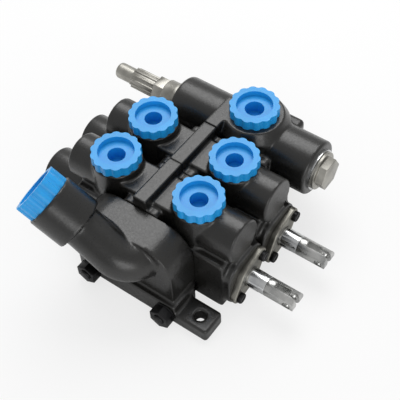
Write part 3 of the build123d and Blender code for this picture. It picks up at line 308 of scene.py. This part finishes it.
def rubber():
    """Matt black nitrile rubber of the seals."""
    material, tree = new_material("Nitrile rubber")
    place = add(tree, "ShaderNodeTexCoord").outputs["Object"]
    skin = add(tree, "ShaderNodeTexNoise", {"Vector": place, "Scale": 800.0})
    bumps = add(tree, "ShaderNodeBump", {
        "Height": skin.outputs["Fac"], "Strength": 0.1, "Distance": 0.1 * MM})
    shader = add(tree, "ShaderNodeBsdfPrincipled", {
        "Base Color": linear("#161616"), "Roughness": 0.7, "Normal": bumps.outputs[0]})
    finished(tree, shader)
    return material


# Properties

class ValveLook(bpy.types.PropertyGroup):
    """Sizes and colours that a user would change."""
    plug_colour: bpy.props.FloatVectorProperty(
        name="Plug colour", description="Colour of the transport plugs", subtype="COLOR", size=3,
        min=0.0, max=1.0, default=linear("#1f9de4")[:3])
    plug_lobes: bpy.props.IntProperty(
        name="Plug lobes", description="Scallops round a transport plug", default=14, min=6, max=40)
    cast_grain: bpy.props.FloatProperty(
        name="Sand grain", description="Grain of the cast surface", default=0.0011, min=0.0002,
        unit="LENGTH")
    cast_voxel: bpy.props.FloatProperty(
        name="Casting detail", description="Finest detail of a casting's copy", default=0.0011,
        min=0.0005, unit="LENGTH")
    floor_size: bpy.props.FloatProperty(
        name="Floor size", description="Side of the pale floor", default=6.0, min=1.0, unit="LENGTH")


# Operators

class VALVE_OT_castings(bpy.types.Operator):
    """Soft-cornered painted castings of the sections"""
    bl_idname = "valve.castings"
    bl_label = "Castings"

    def execute(self, context):
        look = context.scene.valve_look
        paint = cast_paint()
        for node in ("inlet_section", "outlet_section", "work_section_1", "work_section_2"):
            piece = cast_copy(node, node + "_casting", look.cast_voxel, 5)
            finish_piece(piece, paint, "housing", "casting", node)
        for row in ROWS:
            piece = eased(f"spring_cap_{row}", f"spring_cap_{row}_painted", 0.5 * MM)
            finish_piece(piece, paint, "housing", "painted_cap", f"spring_cap_{row}")
        return {"FINISHED"}


class VALVE_OT_plugs(bpy.types.Operator):
    """Blue transport plugs in the ports"""
    bl_idname = "valve.plugs"
    bl_label = "Transport plugs"

    def execute(self, context):
        plastic = moulded_plastic()
        for node in PORT_PLUGS:
            paint_node(node, plastic)
        return {"FINISHED"}


class VALVE_OT_spools(bpy.types.Operator):
    """Spools, their forked ends and the pieces that ride with them"""
    bl_idname = "valve.spools"
    bl_label = "Spools"

    def execute(self, context):
        ground = steel("Ground hard-chromed steel", "#b9bbbd", "#dcdddd", 0.17, 700.0, "X", 0.08)
        turned = steel("Turned steel", "#a3a4a3", "#c9c9c7", 0.27, 420.0, "X", 0.2)
        wire = steel("Drawn spring wire", "#5b5a58", "#8a8986", 0.35)
        for row in ROWS:
            body = f"spool_assembly_{row}"
            piece = eased(f"clevis_end_{row}", f"clevis_end_{row}_eased", 0.35 * MM)
            finish_piece(piece, turned, body, "turned_steel", f"clevis_end_{row}")
            paint_node(f"spool_{row}", ground)
            paint_node(f"stop_bolt_{row}", turned)
            paint_node(f"inner_spring_seat_{row}", turned)
            paint_node(f"outer_spring_seat_{row}", turned)
            paint_node(f"centring_spring_{row}", wire)
            paint_node(f"load_check_poppet_{row}", ground)
            paint_node(f"load_check_spring_{row}", wire)
        paint_node("relief_spring", wire)
        return {"FINISHED"}


class VALVE_OT_fasteners(bpy.types.Operator):
    """Retainer plates, screws, tie rods, nuts and seals"""
    bl_idname = "valve.fasteners"
    bl_label = "Plates and fasteners"

    def execute(self, context):
        zinc = steel("Zinc plate", "#7d7b74", "#a5a39b", 0.4)
        black = steel("Black oxide", "#1d1d1e", "#3a3a3b", 0.34)
        for row in ROWS:
            piece = eased(f"seal_retainer_{row}", f"seal_retainer_{row}_eased", 0.3 * MM)
            finish_piece(piece, zinc, "housing", "zinc_steel", f"seal_retainer_{row}")
        for node in ("retainer_screws", "spring_cap_screws", "tie_rods", "tie_rod_nuts",
                     "tie_rod_washers", "top_screw"):
            piece = eased(node, node + "_eased", 0.25 * MM)
            finish_piece(piece, black, "housing", "black_fasteners", node)
        seal = rubber()
        for node in ("joint_seals", "spool_seal_1", "spool_seal_2"):
            paint_node(node, seal)
        return {"FINISHED"}


class VALVE_OT_relief(bpy.types.Operator):
    """Relief valve cartridge and the inlet's blanking plug"""
    bl_idname = "valve.relief"
    bl_label = "Relief valve and inlet plug"

    def execute(self, context):
        zinc = steel("Zinc plated steel", "#8b8983", "#b3b1aa", 0.36)
        ground = steel("Ground steel", "#b9bbbd", "#d8d8d8", 0.2, 600.0, "X", 0.1)
        for node in ("relief_cartridge", "relief_lock_nut", "relief_sleeve", "inlet_plug"):
            piece = eased(node, node + "_eased", 0.4 * MM)
            finish_piece(piece, zinc, "housing", "zinc_steel", node)
        piece = eased("relief_adjusting_screw", "relief_adjusting_screw_eased", 0.3 * MM)
        finish_piece(piece, zinc, "adjusting_screw", "zinc_steel", "relief_adjusting_screw")
        for node in ("relief_poppet", "relief_seat", "relief_spring_disc", "relief_seal_ring",
                     "inlet_plug_washer"):
            paint_node(node, ground)
        return {"FINISHED"}


class VALVE_OT_stage(bpy.types.Operator):
    """Pale floor, soft studio light and the camera"""
    bl_idname = "valve.stage"
    bl_label = "Stage"

    def execute(self, context):
        self.place_camera(context)
        self.lay_floor(context.scene.valve_look.floor_size)
        self.light(context)
        return {"FINISHED"}

    def place_camera(self, context):
        """The photograph's viewing angle: 36 degrees round from the outlet, 52 degrees up."""
        azimuth, elevation, roll = (math.radians(v) for v in (35.71, 52.35, -1.14))
        back = Vector((
            math.sin(azimuth) * math.cos(elevation),
            -math.cos(azimuth) * math.cos(elevation),
            math.sin(elevation)))
        right = Vector((math.cos(azimuth), math.sin(azimuth), 0))
        up = back.cross(right)
        right, up = (
            right * math.cos(roll) + up * math.sin(roll),
            up * math.cos(roll) - right * math.sin(roll))
        data = bpy.data.cameras.new("Camera")
        data.sensor_width = 36.0
        data.lens = 79.35
        data.shift_x = -0.0653
        data.shift_y = 0.0196
        data.clip_start = 0.05
        camera = bpy.data.objects.new("Camera", data)
        camera.matrix_world = Matrix((
            (right.x, up.x, back.x, 0.30003),
            (right.y, up.y, back.y, -0.34979),
            (right.z, up.z, back.z, 0.61821),
            (0, 0, 0, 1)))
        context.scene.collection.objects.link(camera)
        context.scene.camera = camera

    def lay_floor(self, size):
        """Matt white floor that looks white to the camera and keeps the valve's shadow."""
        mesh = bpy.data.meshes.new("Floor")
        half = size / 2
        corners = [(-half, -half, 0), (half, -half, 0), (half, half, 0), (-half, half, 0)]
        mesh.from_pydata(corners, [], [(0, 1, 2, 3)])
        floor = plain_object("Floor", mesh)
        material, tree = new_material("White paper floor")
        seen = add(tree, "ShaderNodeLightPath")
        paper = add(tree, "ShaderNodeBsdfDiffuse", {"Color": linear("#f4f4f4")})
        white = add(tree, "ShaderNodeEmission", {"Color": (1, 1, 1, 1), "Strength": 1.0})
        share = add(tree, "ShaderNodeMath", {0: seen.outputs["Is Camera Ray"], 1: 0.72},
                    operation="MULTIPLY")
        mix = add(tree, "ShaderNodeMixShader", {
            0: share.outputs[0], 1: paper.outputs[0], 2: white.outputs[0]})
        finished(tree, mix)
        mesh.materials.append(material)

    def light(self, context):
        """Large soft boxes and a plain bright room."""
        world = bpy.data.worlds.new("Studio")
        context.scene.world = world
        world.use_nodes = True
        tree = world.node_tree
        tree.nodes.clear()
        seen = add(tree, "ShaderNodeLightPath")
        room = add(tree, "ShaderNodeBackground", {"Color": (1, 1, 1, 1), "Strength": 0.55})
        white = add(tree, "ShaderNodeBackground", {"Color": (1, 1, 1, 1), "Strength": 1.0})
        mix = add(tree, "ShaderNodeMixShader", {
            0: seen.outputs["Is Camera Ray"], 1: room.outputs[0], 2: white.outputs[0]})
        add(tree, "ShaderNodeOutputWorld", {"Surface": mix.outputs[0]})
        boxes = (
            ("Key softbox", (-0.35, 0.55, 1.1), 0.9, 9.0),
            ("Fill softbox", (1.0, -0.9, 0.5), 0.8, 5.0),
        )
        for name, place, size, watts in boxes:
            data = bpy.data.lights.new(name, "AREA")
            data.shape = "SQUARE"
            data.size = size
            data.energy = watts
            lamp = bpy.data.objects.new(name, data)
            lamp.location = place
            lamp.rotation_euler = (-Vector(place)).to_track_quat("-Z", "Y").to_euler()
            context.scene.collection.objects.link(lamp)


class VALVE_PT_panel(bpy.types.Panel):
    """Shows the valve's settings and build steps in the sidebar"""
    bl_idname = "VALVE_PT_panel"
    bl_label = "Control valve"
    bl_space_type = "VIEW_3D"
    bl_region_type = "UI"
    bl_category = "Valve"

    def draw(self, context):
        look = context.scene.valve_look
        for name in ValveLook.__annotations__:
            self.layout.prop(look, name)
        for operator in OPERATORS:
            self.layout.operator(operator.bl_idname)


OPERATORS = (VALVE_OT_stage, VALVE_OT_castings, VALVE_OT_plugs, VALVE_OT_spools, VALVE_OT_fasteners,
             VALVE_OT_relief)
CLASSES = (ValveLook, *OPERATORS, VALVE_PT_panel)


def register():
    for cls in CLASSES:
        bpy.utils.register_class(cls)
    bpy.types.Scene.valve_look = bpy.props.PointerProperty(type=ValveLook)


def unregister():
    del bpy.types.Scene.valve_look
    for cls in reversed(CLASSES):
        bpy.utils.unregister_class(cls)


def main():
    """Build every piece in order."""
    register()
    bpy.context.scene.view_settings.view_transform = "Standard"
    for operator in OPERATORS:
        group, name = operator.bl_idname.split(".")
        getattr(getattr(bpy.ops, group), name)()


if __name__ == "__main__":
    main()
